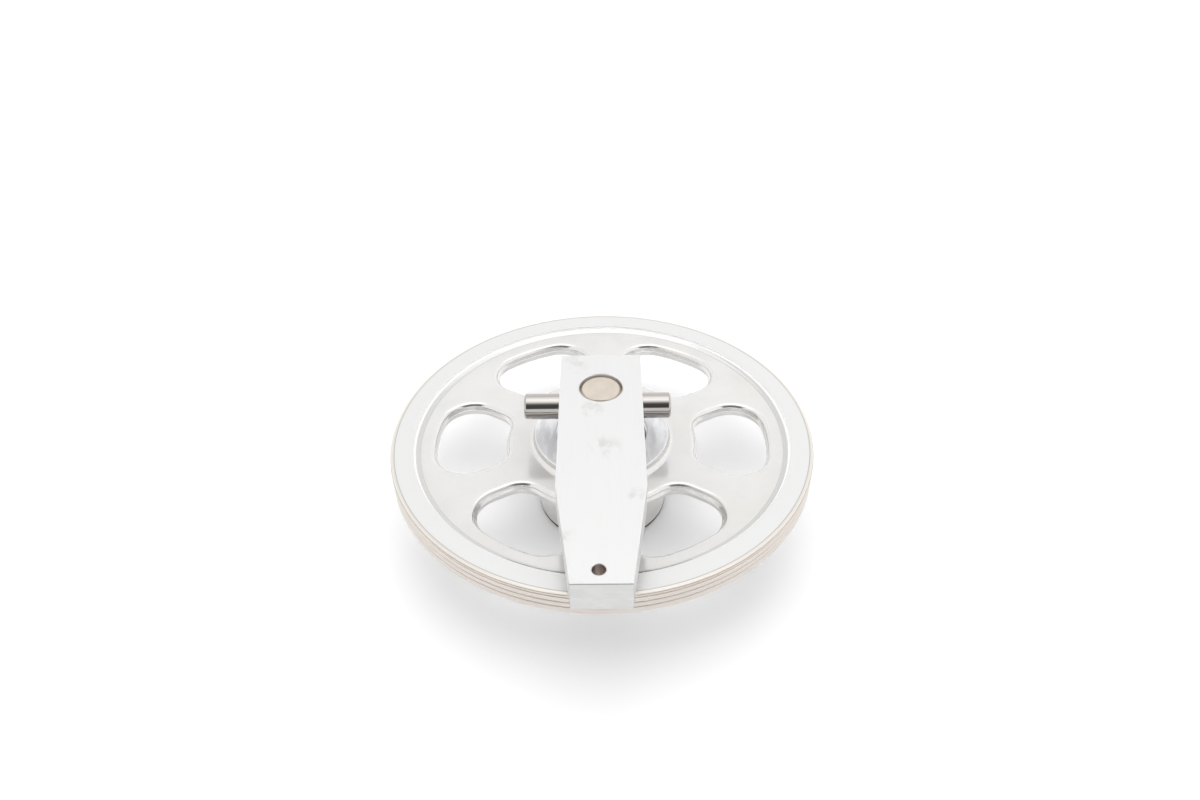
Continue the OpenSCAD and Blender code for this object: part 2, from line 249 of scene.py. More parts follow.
def hub_chain():
    """From the web's top, in over the hub and down its bore, and back up to the web's underside."""
    upper_seat = HUB_TOP - CLIP_LIP - CLIP_GROOVE_W
    lower_seat = HUB_BOTTOM + CLIP_LIP + CLIP_GROOVE_W
    bore = [
        (BORE_R + BORE_BEVEL, HUB_TOP),
        (BORE_R, HUB_TOP - BORE_BEVEL),
        (BORE_R, upper_seat + CLIP_GROOVE_W),
        (CLIP_GROOVE_R, upper_seat + CLIP_GROOVE_W),
        (CLIP_GROOVE_R, upper_seat),
        (BORE_R, upper_seat),
        (BORE_R, upper_seat - BEARING_W),
        (SHOULDER_R, upper_seat - BEARING_W),
        (SHOULDER_R, lower_seat + BEARING_W),
        (BORE_R, lower_seat + BEARING_W),
        (BORE_R, lower_seat),
        (CLIP_GROOVE_R, lower_seat),
        (CLIP_GROOVE_R, lower_seat - CLIP_GROOVE_W),
        (BORE_R, lower_seat - CLIP_GROOVE_W),
        (BORE_R, HUB_BOTTOM + BORE_BEVEL),
        (BORE_R + BORE_BEVEL, HUB_BOTTOM),
    ]
    top = ([(WEB_IN_R, WEB_TOP)]
           + arc(HUB_R + HUB_FILLET, WEB_TOP + HUB_FILLET, HUB_FILLET, 270, 180, 12)
           + arc(HUB_R - HUB_EDGE, HUB_TOP - HUB_EDGE, HUB_EDGE, 0, 90, 8))
    foot = (arc(HUB_FOOT_R - HUB_EDGE, HUB_BOTTOM + HUB_EDGE, HUB_EDGE, -90, 0, 6)
            + arc(HUB_R + UNDER_FILLET, WEB_BOTTOM - UNDER_FILLET, UNDER_FILLET, 180, 90, 10)
            + [(WEB_IN_R, WEB_BOTTOM)])
    return top + bore + foot


def window_outline(steps=40):
    """Half of a window's outline as (point, outward normal), from its outer edge to its inner edge."""
    spoke = radians(SECTOR / 2)
    in_centre_r = WINDOW_IN_R + WINDOW_IN_CORNER
    out_centre_r = WINDOW_OUT_R - WINDOW_OUT_CORNER
    in_angle = spoke - asin((SPOKE_W / 2 + WINDOW_IN_CORNER) / in_centre_r)
    out_angle = spoke - asin((SPOKE_W / 2 + WINDOW_OUT_CORNER) / out_centre_r)
    side = spoke + pi / 2

    def stretch(centre, radius, start, end, sign):
        points = []
        for i in range(steps + 1):
            a = start + (end - start) * i / steps
            ray = Vector((cos(a), sin(a)))
            points.append((centre + ray * radius, ray * sign))
        return points

    axis = Vector((0, 0))
    out_centre = Vector((cos(out_angle), sin(out_angle))) * out_centre_r
    in_centre = Vector((cos(in_angle), sin(in_angle))) * in_centre_r
    return (stretch(axis, WINDOW_OUT_R, 0, out_angle, 1)
            + stretch(out_centre, WINDOW_OUT_CORNER, out_angle, side, 1)
            + stretch(in_centre, WINDOW_IN_CORNER, side, in_angle + pi, 1)
            + stretch(axis, WINDOW_IN_R, in_angle, 0, -1))


def on_outline(outline, centre, angle):
    """The outline's point and normal in a direction from the window's centre."""
    wanted = abs(angle)
    bearings = [atan2(point.y, point.x - centre) for point, _normal in outline]
    k = 1
    while k < len(bearings) - 1 and bearings[k] < wanted:
        k += 1
    span = bearings[k] - bearings[k - 1]
    t = 0.0 if span < 1e-9 else min(1.0, max(0.0, (wanted - bearings[k - 1]) / span))
    point = outline[k - 1][0].lerp(outline[k][0], t)
    normal = outline[k - 1][1].lerp(outline[k][1], t).normalized()
    if angle < 0:
        point = Vector((point.x, -point.y))
        normal = Vector((normal.x, -normal.y))
    return point, normal


def sector_loop():
    """The sector that holds one window: inner arc, spoke line, outer arc, spoke line."""
    half = radians(SECTOR / 2)
    loop = []
    for i in range(HUB_STEPS):
        a = half - 2 * half * i / HUB_STEPS
        loop.append(Vector((cos(a), sin(a))) * WEB_IN_R)
    for i in range(SPOKE_STEPS):
        r = WEB_IN_R + (WEB_OUT_R - WEB_IN_R) * i / SPOKE_STEPS
        loop.append(Vector((cos(half), -sin(half))) * r)
    for i in range(RIM_STEPS):
        a = 2 * half * i / RIM_STEPS - half
        loop.append(Vector((cos(a), sin(a))) * WEB_OUT_R)
    for i in range(SPOKE_STEPS):
        r = WEB_OUT_R - (WEB_OUT_R - WEB_IN_R) * i / SPOKE_STEPS
        loop.append(Vector((cos(half), sin(half))) * r)
    return loop


def window_wall():
    """The wall's section as (distance into the web, z), from the top face to the underside."""
    top = [(WINDOW_TOP_ROUND - WINDOW_TOP_ROUND * sin(radians(a)),
            WEB_TOP - WINDOW_TOP_ROUND * (1 - cos(radians(a)))) for a in range(0, 81, 10)]
    crest = -WINDOW_DRAFT - PARTING_RIDGE
    ridge = [(-WINDOW_DRAFT, WEB_MID + RIDGE_HALF), (crest, WEB_MID + RIDGE_CREST_HALF),
             (crest, WEB_MID - RIDGE_CREST_HALF), (-WINDOW_DRAFT, WEB_MID - RIDGE_HALF)]
    under = [(WINDOW_UNDER_ROUND - WINDOW_UNDER_ROUND * sin(radians(a)),
              WEB_BOTTOM + WINDOW_UNDER_ROUND * (1 - cos(radians(a)))) for a in range(80, -1, -10)]
    return top + ridge + under


def window_sector(bm, turn):
    """One sixth of the web, with its window's rounded wall."""
    centre = (WINDOW_IN_R + WINDOW_OUT_R) / 2
    outline = window_outline()
    border = sector_loop()
    hits = [on_outline(outline, centre, atan2(p.y, p.x - centre)) for p in border]
    place = Matrix.Rotation(radians(turn), 4, "Z")
    wall = window_wall()
    loops = []

    def add(points, z):
        loops.append([bm.verts.new(place @ Vector((p.x, p.y, z))) for p in points])

    def flat(edge_in, z, shares):
        for share in shares:
            add([b.lerp(q + n * edge_in, share) for b, (q, n) in zip(border, hits)], z)

    flat(wall[0][0], wall[0][1], (0, 0.35, 0.7))
    for inset, z in wall:
        add([q + n * inset for q, n in hits], z)
    flat(wall[-1][0], wall[-1][1], (0.7, 0.35, 0))
    for upper, lower in zip(loops, loops[1:]):
        bridge(bm, upper, lower)


def build_wheel():
    """The cast wheel as one closed mesh, with rounded windows and filleted hub and rim."""
    bm = bmesh.new()
    sweep(bm, hub_chain(), HUB_STEPS * WINDOWS, SECTOR / 2)
    sweep(bm, rim_chain(), RIM_STEPS * WINDOWS, SECTOR / 2)
    for i in range(WINDOWS):
        window_sector(bm, i * SECTOR)
    at_rest = Matrix.Rotation(radians(WHEEL_TURN), 3, "Z")
    bmesh.ops.rotate(bm, verts=bm.verts, cent=(0, 0, 0), matrix=at_rest)
    return finished("pulley_wheel_cast", bm, "pulley", "cast_aluminium", ["pulley_wheel"], sharp=28.0)


# ---------------------------------------------------------------- the lever arm and the pin

CUT_PAST = 2.0


def solid(name, bm):
    """A closed mesh object in millimetres, used as a cutter or as stock."""
    bmesh.ops.recalc_face_normals(bm, faces=bm.faces)
    mesh = bpy.data.meshes.new(name)
    bm.to_mesh(mesh)
    bm.free()
    thing = bpy.data.objects.new(name, mesh)
    bpy.context.scene.collection.objects.link(thing)
    return thing


def extruded(name, outline, low, high):
    """A straight prism over an outline of (x, y) points."""
    bm = bmesh.new()
    bottom = [bm.verts.new((x, y, low)) for x, y in outline]
    top = [bm.verts.new((x, y, high)) for x, y in outline]
    bm.faces.new(bottom)
    bm.faces.new(top)
    bridge(bm, bottom, top)
    return solid(name, bm)


def turned(name, chain, count, place=Matrix.Identity(4)):
    """A closed turned body over a chain that starts and ends on the axis."""
    bm = bmesh.new()
    sweep(bm, chain, count)
    bmesh.ops.remove_doubles(bm, verts=bm.verts, dist=WELD)
    bmesh.ops.transform(bm, matrix=place, verts=bm.verts)
    return solid(name, bm)


def baked(thing):
    """A bmesh of an object with its modifiers applied. The object is removed."""
    graph = bpy.context.evaluated_depsgraph_get()
    mesh = bpy.data.meshes.new_from_object(thing.evaluated_get(graph))
    bm = bmesh.new()
    bm.from_mesh(mesh)
    bpy.data.objects.remove(thing)
    return bm


def hole_cutter(name, radius, mouth, count, place=Matrix.Identity(4)):
    """A cutter for a round hole through the arm, with a bevelled mouth in the top face."""
    low = arm_low.z - CUT_PAST
    high = arm_high.z + CUT_PAST
    chain = [(0, low), (radius, low), (radius, arm_high.z - mouth), (radius + mouth + CUT_PAST, high),
             (0, high)]
    return turned(name, chain, count, place)


def slot_cutter(name, radius):
    """A cutter for the half-round slot across the arm's underside."""
    bm = bmesh.new()
    section = [(radius * cos(radians(a)), PIN_Z + radius * sin(radians(a))) for a in range(0, 181, 6)]
    section += [(-radius, arm_low.z - CUT_PAST), (radius, arm_low.z - CUT_PAST)]
    past_side = arm_high.x + CUT_PAST
    left = [bm.verts.new((-past_side, y, z)) for y, z in section]
    right = [bm.verts.new((past_side, y, z)) for y, z in section]
    bm.faces.new(left)
    bm.faces.new(right)
    bridge(bm, left, right)
    return solid(name, bm)


def build_arm():
    """The flat arm with its shaft hole, end hole and pin slot, and softened edges."""
    half_w = arm_high.x
    half_end = ARM_END_W / 2
    stock = extruded("arm_stock", [(half_w, arm_high.y), (-half_w, arm_high.y), (-half_w, ARM_TAPER_Y),
                                   (-half_end, arm_low.y), (half_end, arm_low.y), (half_w, ARM_TAPER_Y)],
                     arm_low.z, arm_high.z)
    hole_at = Matrix.Translation((ARM_HOLE[0], ARM_HOLE[1], 0))
    cutters = [
        hole_cutter("shaft_hole", SHAFT_R + ARM_BORE_GAP, 0.2, 96),
        hole_cutter("end_hole", ARM_HOLE_R, 0.25, 64, hole_at),
        slot_cutter("pin_slot", PIN_R + PIN_SLOT_GAP),
    ]
    for cutter in cutters:
        cut = stock.modifiers.new(cutter.name, "BOOLEAN")
        cut.operation = "DIFFERENCE"
        cut.solver = "EXACT"
        cut.object = cutter
    soften = stock.modifiers.new("soften", "BEVEL")
    soften.width = 0.35
    soften.segments = 3
    soften.limit_method = "ANGLE"
    soften.angle_limit = radians(32)
    soften.use_clamp_overlap = False
    bm = baked(stock)
    for cutter in cutters:
        bpy.data.objects.remove(cutter)
    return finished("lever_arm_plate", bm, "lever", "sawn_aluminium", ["lever_arm"], sharp=35)


def build_pin():
    """The cross pin, turned about X, with rounded end bevels."""
    bevel = 0.8
    section = [(0, pin_low.x), (PIN_R - bevel, pin_low.x), (PIN_R, pin_low.x + bevel),
               (PIN_R, pin_high.x - bevel), (PIN_R - bevel, pin_high.x), (0, pin_high.x)]
    bm = bmesh.new()
    sweep(bm, rounded(section, 0.3, 4), 96)
    bmesh.ops.transform(bm, verts=bm.verts,
                        matrix=Matrix.Translation((0, 0, PIN_Z)) @ Matrix.Rotation(pi / 2, 4, "Y"))
    return finished("cross_pin_dowel", bm, "lever", "dark_steel", ["cross_pin"], sharp=40)


# ---------------------------------------------------------------- materials

# Flat top faces scatter part of the light, so that they stay pale from every side. The shade
# makes up for the light this adds.
FLAT_METAL = 0.4
FLAT_SHADE = 0.03


def feed(links, socket, value):
    """Joins a socket to another node's output, or sets its own value."""
    if hasattr(value, "is_linked"):
        links.new(value, socket)
    else:
        socket.default_value = value


class Graph:
    """A material's node tree, with short calls for the nodes used here."""

    def __init__(self, name):
        self.material = bpy.data.materials.new(name)
        self.material.use_nodes = True
        self.nodes = self.material.node_tree.nodes
        self.links = self.material.node_tree.links
        self.shader = self.nodes["Principled BSDF"]
        coordinates = self.nodes.new("ShaderNodeTexCoord")
        self.place = coordinates.outputs["Object"]
        split = self.nodes.new("ShaderNodeSeparateXYZ")
        self.links.new(self.place, split.inputs[0])
        self.x, self.y, self.z = (self.math("MULTIPLY", out, 1 / MM) for out in split.outputs)
        self.radius = self.math("SQRT", self.math("ADD", self.math("POWER", self.x, 2.0),
                                                  self.math("POWER", self.y, 2.0)))

    def feed(self, socket, value):
        feed(self.links, socket, value)

    def math(self, operation, a, b=0.0, c=0.0):
        node = self.nodes.new("ShaderNodeMath")
        node.operation = operation
        for socket, value in zip(node.inputs, (a, b, c)):
            self.feed(socket, value)
        return node.outputs[0]

    def step(self, value, start, end):
        """0 below start and 1 above end, smooth between. With end below start it falls instead."""
        node = self.nodes.new("ShaderNodeMapRange")
        node.interpolation_type = "SMOOTHSTEP"
        rising = end > start
        amounts = {"Value": value, "From Min": min(start, end), "From Max": max(start, end),
                   "To Min": 0.0 if rising else 1.0, "To Max": 1.0 if rising else 0.0}
        for name, amount in amounts.items():
            self.feed(node.inputs[name], amount)
        return node.outputs[0]

    def band(self, value, low, high, blur=0.1):
        """1 between low and high, 0 outside."""
        return self.math("MULTIPLY", self.step(value, low - blur, low), self.step(value, high + blur, high))

    def both(self, a, b):
        return self.math("MULTIPLY", a, b)

    def noise(self, scale, detail=3.0, rough=0.5, stretch=(1, 1, 1), warp=0.0, seed=0.0):
        """Noise over the piece. scale counts features per metre."""
        mapping = self.nodes.new("ShaderNodeMapping")
        mapping.inputs["Scale"].default_value = stretch
        mapping.inputs["Location"].default_value = (seed, seed * 0.7, seed * 1.3)
        self.links.new(self.place, mapping.inputs["Vector"])
        node = self.nodes.new("ShaderNodeTexNoise")
        self.links.new(mapping.outputs[0], node.inputs["Vector"])
        node.inputs["Scale"].default_value = scale
        node.inputs["Detail"].default_value = detail
        node.inputs["Roughness"].default_value = rough
        node.inputs["Distortion"].default_value = warp
        return node.outputs["Fac"]

    def noise_of(self, value, scale, detail=2.0, rough=0.5):
        """Noise along one number, for turned rings and brushed lines."""
        node = self.nodes.new("ShaderNodeTexNoise")
        node.noise_dimensions = "1D"
        self.feed(node.inputs["W"], value)
        node.inputs["Scale"].default_value = scale
        node.inputs["Detail"].default_value = detail
        node.inputs["Roughness"].default_value = rough
        return node.outputs["Fac"]

    def mix(self, share, a, b):
        """Colour a where share is 0, colour b where share is 1."""
        node = self.nodes.new("ShaderNodeMix")
        node.data_type = "RGBA"
        self.feed(node.inputs["Factor"], share)
        for socket, value in ((node.inputs["A"], a), (node.inputs["B"], b)):
            self.feed(socket, (*value, 1.0) if isinstance(value, tuple) and len(value) == 3 else value)
        return node.outputs["Result"]

    def blend(self, share, a, b):
        """Number a where share is 0, number b where share is 1."""
        node = self.nodes.new("ShaderNodeMix")
        node.data_type = "FLOAT"
        self.feed(node.inputs["Factor"], share)
        self.feed(node.inputs["A"], a)
        self.feed(node.inputs["B"], b)
        return node.outputs["Result"]

    def bump(self, height, depth, below=None):
        """Surface relief. depth is the height in millimetres of a full step."""
        node = self.nodes.new("ShaderNodeBump")
        node.inputs["Distance"].default_value = depth * MM
        self.links.new(height, node.inputs["Height"])
        if below is not None:
            self.links.new(below, node.inputs["Normal"])
        return node.outputs["Normal"]

    def finish(self, color, rough, normal=None, metal=1.0):
        self.feed(self.shader.inputs["Base Color"], color)
        self.feed(self.shader.inputs["Roughness"], rough)
        self.feed(self.shader.inputs["Metallic"], metal)
        if normal is not None:
            self.links.new(normal, self.shader.inputs["Normal"])
        return self.material


def cast_aluminium():
    """Polished casting with a turned rim face, a scuffed hub face and a tarnished groove band."""
    g = Graph("cast_aluminium")
    corner_z = RIM_HALF - 0.28
    rim_side = g.both(g.step(g.radius, RIM_R - 4.0, RIM_R - 3.0), g.band(g.z, -RIM_HALF, corner_z, 0.08))
    on_top = g.step(g.z, RIM_HALF - 1.2, RIM_HALF - 0.3)
    rim_face = g.both(g.step(g.radius, RECESS_R - 0.1, RECESS_R + 0.2), on_top)
    bevel = g.both(g.step(g.radius, RIM_R - 1.7, RIM_R - 1.5), g.step(g.z, corner_z - 0.1, corner_z))
    bevel_line = g.both(g.band(g.radius, RIM_R - 2.0, RIM_R - 1.55, 0.12), on_top)
    # Painted shade: a thin dark brown line on the groove band just under the top corner.
    corner_shade_line = g.both(g.band(g.z, RIM_HALF - 0.75, RIM_HALF - 0.5, 0.12), rim_side)
    # Painted highlight: a pale, barely metallic, rougher band along the top of the recess wall's lip.
    above_fillet = g.step(g.z, WEB_TOP + 0.9, WEB_TOP + 1.2)
    lip_highlight = g.both(g.band(g.radius, RECESS_R - 0.9, RECESS_R + 0.05, 0.15), above_fillet)
    hub_face = g.both(g.step(g.radius, HUB_R + 0.2, HUB_R - 0.6),
                      g.step(g.z, HUB_TOP - 0.5, HUB_TOP - 0.1))
    patches = g.step(g.noise(30, 4, 0.55, seed=3), 0.42, 0.68)
    clouds = g.step(g.noise(75, 5, 0.6, seed=9), 0.38, 0.72)
    color = g.mix(patches, (0.735, 0.728, 0.715), (0.72, 0.705, 0.68))
    color = g.mix(g.both(clouds, 0.35), color, (0.62, 0.62, 0.61))
    above_web = g.step(g.z, WEB_TOP, WEB_TOP + 0.2)
    # Painted shade: the recess fillet just inside the rim is darkened towards grey.
    fillet_shade = g.both(g.band(g.radius, RECESS_R - 3.0, RECESS_R - 1.3, 0.9), above_web)
    color = g.mix(g.both(fillet_shade, 0.8), color, (0.55, 0.55, 0.54))
    color = g.mix(lip_highlight, color, (0.9, 0.9, 0.89))
    color = g.mix(rim_face, color, (0.722, 0.719, 0.713))
    scuffs = g.noise(160, 6, 0.7, stretch=(1, 0.25, 1), seed=5)
    worn = g.mix(g.step(scuffs, 0.4, 0.62), (0.68, 0.68, 0.69), (0.88, 0.88, 0.89))
    color = g.mix(g.both(hub_face, 0.9), color, worn)
    tarnish = g.noise_of(g.z, 1.4, 2.0)
    beige = g.mix(tarnish, (0.65, 0.6, 0.55), (0.72, 0.675, 0.63))
    color = g.mix(rim_side, color, beige)
    color = g.mix(bevel, color, (0.7, 0.67, 0.62))
    color = g.mix(g.both(bevel_line, 0.7), color, (0.4, 0.38, 0.35))
    color = g.mix(g.both(corner_shade_line, 0.75), color, (0.3, 0.25, 0.2))
    # Painted contact shadow: a near-black, rough band round the outside of the hub's foot, where it stands
    # on the floor.
    outside_foot = g.step(g.radius, HUB_FOOT_R - 0.6, HUB_FOOT_R - 0.3)
    foot_contact_shadow = g.both(g.step(g.z, HUB_BOTTOM + 1.9, HUB_BOTTOM + 1.5), outside_foot)
    color = g.mix(foot_contact_shadow, color, (0.06, 0.06, 0.06))
    rough = g.blend(clouds, 0.15, 0.24)
    rough = g.blend(lip_highlight, rough, 0.55)
    rough = g.blend(rim_face, rough, 0.27)
    rough = g.blend(hub_face, rough, 0.6)
    rough = g.blend(rim_side, rough, 0.42)
    rough = g.blend(foot_contact_shadow, rough, 0.8)
    waves = g.noise(26, 2, 0.4, seed=1)
    grain = g.noise(900, 3, 0.6, seed=2)
    rings = g.noise_of(g.radius, 3.2, 3.0, 0.6)
    turned_zone = g.math("MAXIMUM", rim_face, g.math("MAXIMUM", hub_face, rim_side))
    cast_zone = g.blend(turned_zone, 1.0, 0.15)
    normal = g.bump(g.both(waves, cast_zone), 0.2)
    normal = g.bump(g.both(grain, g.blend(turned_zone, 1.0, 0.4)), 0.012, normal)
    normal = g.bump(g.both(rings, turned_zone), 0.02, normal)
    web_face = g.band(g.z, WEB_TOP - 0.1, WEB_TOP + 0.15, 0.08)
    flat = g.math("MAXIMUM", rim_face, web_face)
    color = g.mix(g.both(flat, FLAT_SHADE), color, (0.0, 0.0, 0.0))
    metal = g.blend(flat, 0.92, FLAT_METAL)
    metal = g.blend(lip_highlight, g.blend(hub_face, metal, 0.55), 0.1)
    return g.finish(color, rough, normal, metal)


def sawn_aluminium():
    """Bright mill-finish bar with faint lengthwise grain, smudges and a sawn free end."""
    g = Graph("sawn_aluminium")
    end_face = g.step(g.y, arm_low.y + 0.35, arm_low.y + 0.1)
    grain = g.noise(420, 4, 0.6, stretch=(1, 0.06, 1), seed=4)
    scratchy = g.step(g.noise(190, 5, 0.65, stretch=(1, 0.7, 1), seed=8), 0.42, 0.66)
    smudge = g.both(g.step(g.noise(42, 5, 0.62, seed=8), 0.6, 0.8), 0.5)
    for x, y, reach in SMUDGES:
        away = g.math("ADD", g.math("POWER", g.math("SUBTRACT", g.x, x), 2.0),
                      g.math("POWER", g.math("SUBTRACT", g.y, y), 2.0))
        near = g.step(away, reach ** 2, 0.0)
        smudge = g.math("MAXIMUM", smudge, g.both(near, scratchy))
    color = g.mix(grain, (0.695, 0.695, 0.69), (0.725, 0.725, 0.72))
    color = g.mix(g.both(smudge, 0.5), color, (0.48, 0.48, 0.46))
    saw = g.noise(260, 4, 0.65, stretch=(0.35, 1, 1), warp=0.8, seed=2)
    color = g.mix(end_face, color, g.mix(saw, (0.57, 0.57, 0.56), (0.76, 0.76, 0.75)))
    # A dark greenish line along the top edge of the sawn end face.
    end_top_edge_line = g.both(end_face, g.band(g.z, arm_high.z - 0.6, arm_high.z - 0.25, 0.12))
    color = g.mix(g.both(end_top_edge_line, 0.75), color, (0.2, 0.21, 0.17))
    off_x = g.math("SUBTRACT", g.x, ARM_HOLE[0])
    off_y = g.math("SUBTRACT", g.y, ARM_HOLE[1])
    hole_r = g.math("SQRT", g.math("ADD", g.math("POWER", off_x, 2.0), g.math("POWER", off_y, 2.0)))
    below_mouth = g.step(g.z, arm_high.z, arm_high.z - 0.5)
    in_hole = g.both(g.step(hole_r, ARM_HOLE_R + 0.3, ARM_HOLE_R + 0.1), below_mouth)
    # Painted light and shade on the end hole's wall: pale lavender on its left half, dark brown on its
    # right half.
    hole_lit_and_shaded = g.mix(g.step(off_x, -0.4, 0.6), (0.85, 0.82, 0.84), (0.42, 0.34, 0.27))
    color = g.mix(in_hole, color, hole_lit_and_shaded)
    rough = g.blend(smudge, 0.36, 0.48)
    rough = g.blend(end_face, rough, 0.52)
    normal = g.bump(g.noise(14, 2, 0.4, seed=7), 0.03)
    normal = g.bump(grain, 0.015, normal)
    normal = g.bump(g.both(saw, end_face), 0.12, normal)
    top_face = g.step(g.z, arm_high.z - 0.3, arm_high.z - 0.1)
    color = g.mix(g.both(top_face, FLAT_SHADE), color, (0.0, 0.0, 0.0))
    return g.finish(color, rough, normal, g.blend(top_face, 1.0, FLAT_METAL))


def turned_steel():
    """Shaft steel, with tool rings on its end face and a light brown tarnish."""
    g = Graph("turned_steel")
    rings = g.noise_of(g.radius, 2.6, 3.0, 0.6)
    blotches = g.step(g.noise(190, 4, 0.6, seed=5), 0.42, 0.64)
    color = g.mix(blotches, (0.6, 0.535, 0.465), (0.645, 0.575, 0.505))
    color = g.mix(g.both(g.step(rings, 0.45, 0.7), 0.25), color, (0.5, 0.44, 0.38))
    normal = g.bump(rings, 0.03)
    return g.finish(color, g.blend(blotches, 0.3, 0.38), normal)


def dark_steel():
    """Ground and polished dowel steel, with faint lengthwise lines."""
    g = Graph("dark_steel")
    lines = g.noise(900, 3, 0.6, stretch=(0.02, 1, 1), seed=3)
    color = g.mix(lines, (0.4, 0.375, 0.355), (0.5, 0.48, 0.46))
    # Painted shade: a darker band round the pin's middle and lower side, where it mirrors the shaded space
    # under it.
    pin_shade_band = g.band(g.z, PIN_Z - 2.6, PIN_Z + 0.6, 1.2)
    color = g.mix(g.both(pin_shade_band, 0.3), color, (0.2, 0.18, 0.17))
    # Painted reflection: the pin's lowest strip is pale bluish, rough and barely metallic, standing in for
    # the lit web and floor it mirrors.
    underside_reflection = g.step(g.z, PIN_Z - 3.2, PIN_Z - 4.8)
    color = g.mix(underside_reflection, color, (0.8, 0.82, 0.9))
    normal = g.bump(lines, 0.004)
    rough = g.blend(g.noise(120, 3, seed=1), 0.06, 0.12)
    return g.finish(color, g.blend(underside_reflection, rough, 0.6), normal, g.blend(underside_reflection, 1.0, 0.2))


def ground_steel():
    """Bearing steel, ground bright, with fine rings."""
    g = Graph("bearing_steel")
    rings = g.noise_of(g.radius, 5.0, 2.0)
    color = g.mix(rings, (0.62, 0.62, 0.63), (0.72, 0.72, 0.73))
    return g.finish(color, g.blend(rings, 0.12, 0.2), g.bump(rings, 0.006))


def pressed_steel():
    """Thin pressed sheet for shields and cages."""
    g = Graph("pressed_steel")
    dull = g.noise(320, 4, 0.6, seed=2)
    color = g.mix(dull, (0.55, 0.54, 0.51), (0.68, 0.67, 0.64))
    return g.finish(color, g.blend(dull, 0.24, 0.36), g.bump(dull, 0.01))


def spring_steel():
    """Dark phosphated retaining rings with rubbed edges."""
    g = Graph("spring_steel")
    worn = g.step(g.noise(500, 4, 0.6, seed=4), 0.5, 0.7)
    color = g.mix(worn, (0.09, 0.085, 0.085), (0.24, 0.23, 0.22))
    return g.finish(color, g.blend(worn, 0.5, 0.34), g.bump(worn, 0.01), 0.85)


def zinc_steel():
    """Zinc plated turned parts."""
    g = Graph("zinc_steel")
    rings = g.noise_of(g.z, 3.0, 3.0)
    color = g.mix(rings, (0.6, 0.61, 0.62), (0.7, 0.71, 0.71))
    return g.finish(color, g.blend(rings, 0.28, 0.4), g.bump(rings, 0.012))


def paint(thing, material):
    thing.data.materials.clear()
    thing.data.materials.append(material)


def paint_everything(pieces):
    """Gives each new piece and each CAD node that still shows the material of its slot."""
    made = {
        "cast_aluminium": cast_aluminium(),
        "sawn_aluminium": sawn_aluminium(),
        "turned_steel": turned_steel(),
        "dark_steel": dark_steel(),
        "bearing_steel": ground_steel(),
        "pressed_steel": pressed_steel(),
        "spring_steel": spring_steel(),
        "zinc_steel": zinc_steel(),
    }
    for part in frame["record"]["subparts"]:
        paint(frame["nodes"][part["node"]], made[part["material_slot"]])
    for piece in pieces:
        paint(piece, made[piece["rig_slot"]])


# ---------------------------------------------------------------- stage, light and camera

# The room is one picture for glossy rays and another for diffuse rays. Levels are strengths.
# Pairs of whole numbers are angles in degrees between which a level changes: climb from the
# horizon in front up and over to the back, or sideways away from the middle.
ROOM_LEVEL = 1.18
OVERHEAD_LEVEL = 1.75
LIFT_FROM = 0.86
SIDE_TILT = (0.97, 1.03)
TILT_REACH = 0.35

# The dark patch that glossy rays see in front.
DARK_FROM = (10, 20)
DARK_TO = (38, 92)
DARK_ASIDE = (24, 36)
DARK_LEVEL = 0.09

# The fill that diffuse rays see: weak in front above the horizon, strong close to the horizon.
FILL_LEVEL = 1.04
FILL_FROM = (22, 36)
FILL_ASIDE = (45, 75)
FILL_DARK = 0.05
FILL_LOW = 2.85
FILL_LOW_UNTIL = (10, 32)

FLOOR_REACH = 6000


def build_floor():
    """A plain pale floor under the hub's foot."""
    bm = bmesh.new()
    corners = [(x * FLOOR_REACH, y * FLOOR_REACH) for x, y in ((-1, -1), (1, -1), (1, 1), (-1, 1))]
    bm.faces.new([bm.verts.new((x * MM, y * MM, HUB_BOTTOM * MM)) for x, y in corners])
    mesh = bpy.data.meshes.new("floor")
    bm.to_mesh(mesh)
    bm.free()
    floor = bpy.data.objects.new("floor", mesh)
    bpy.context.scene.collection.objects.link(floor)
    material = bpy.data.materials.new("floor")
    material.use_nodes = True
    shader = material.node_tree.nodes["Principled BSDF"]
    shader.inputs["Base Color"].default_value = (0.95, 0.95, 0.955, 1)
    shader.inputs["Roughness"].default_value = 0.6
    floor.data.materials.append(material)


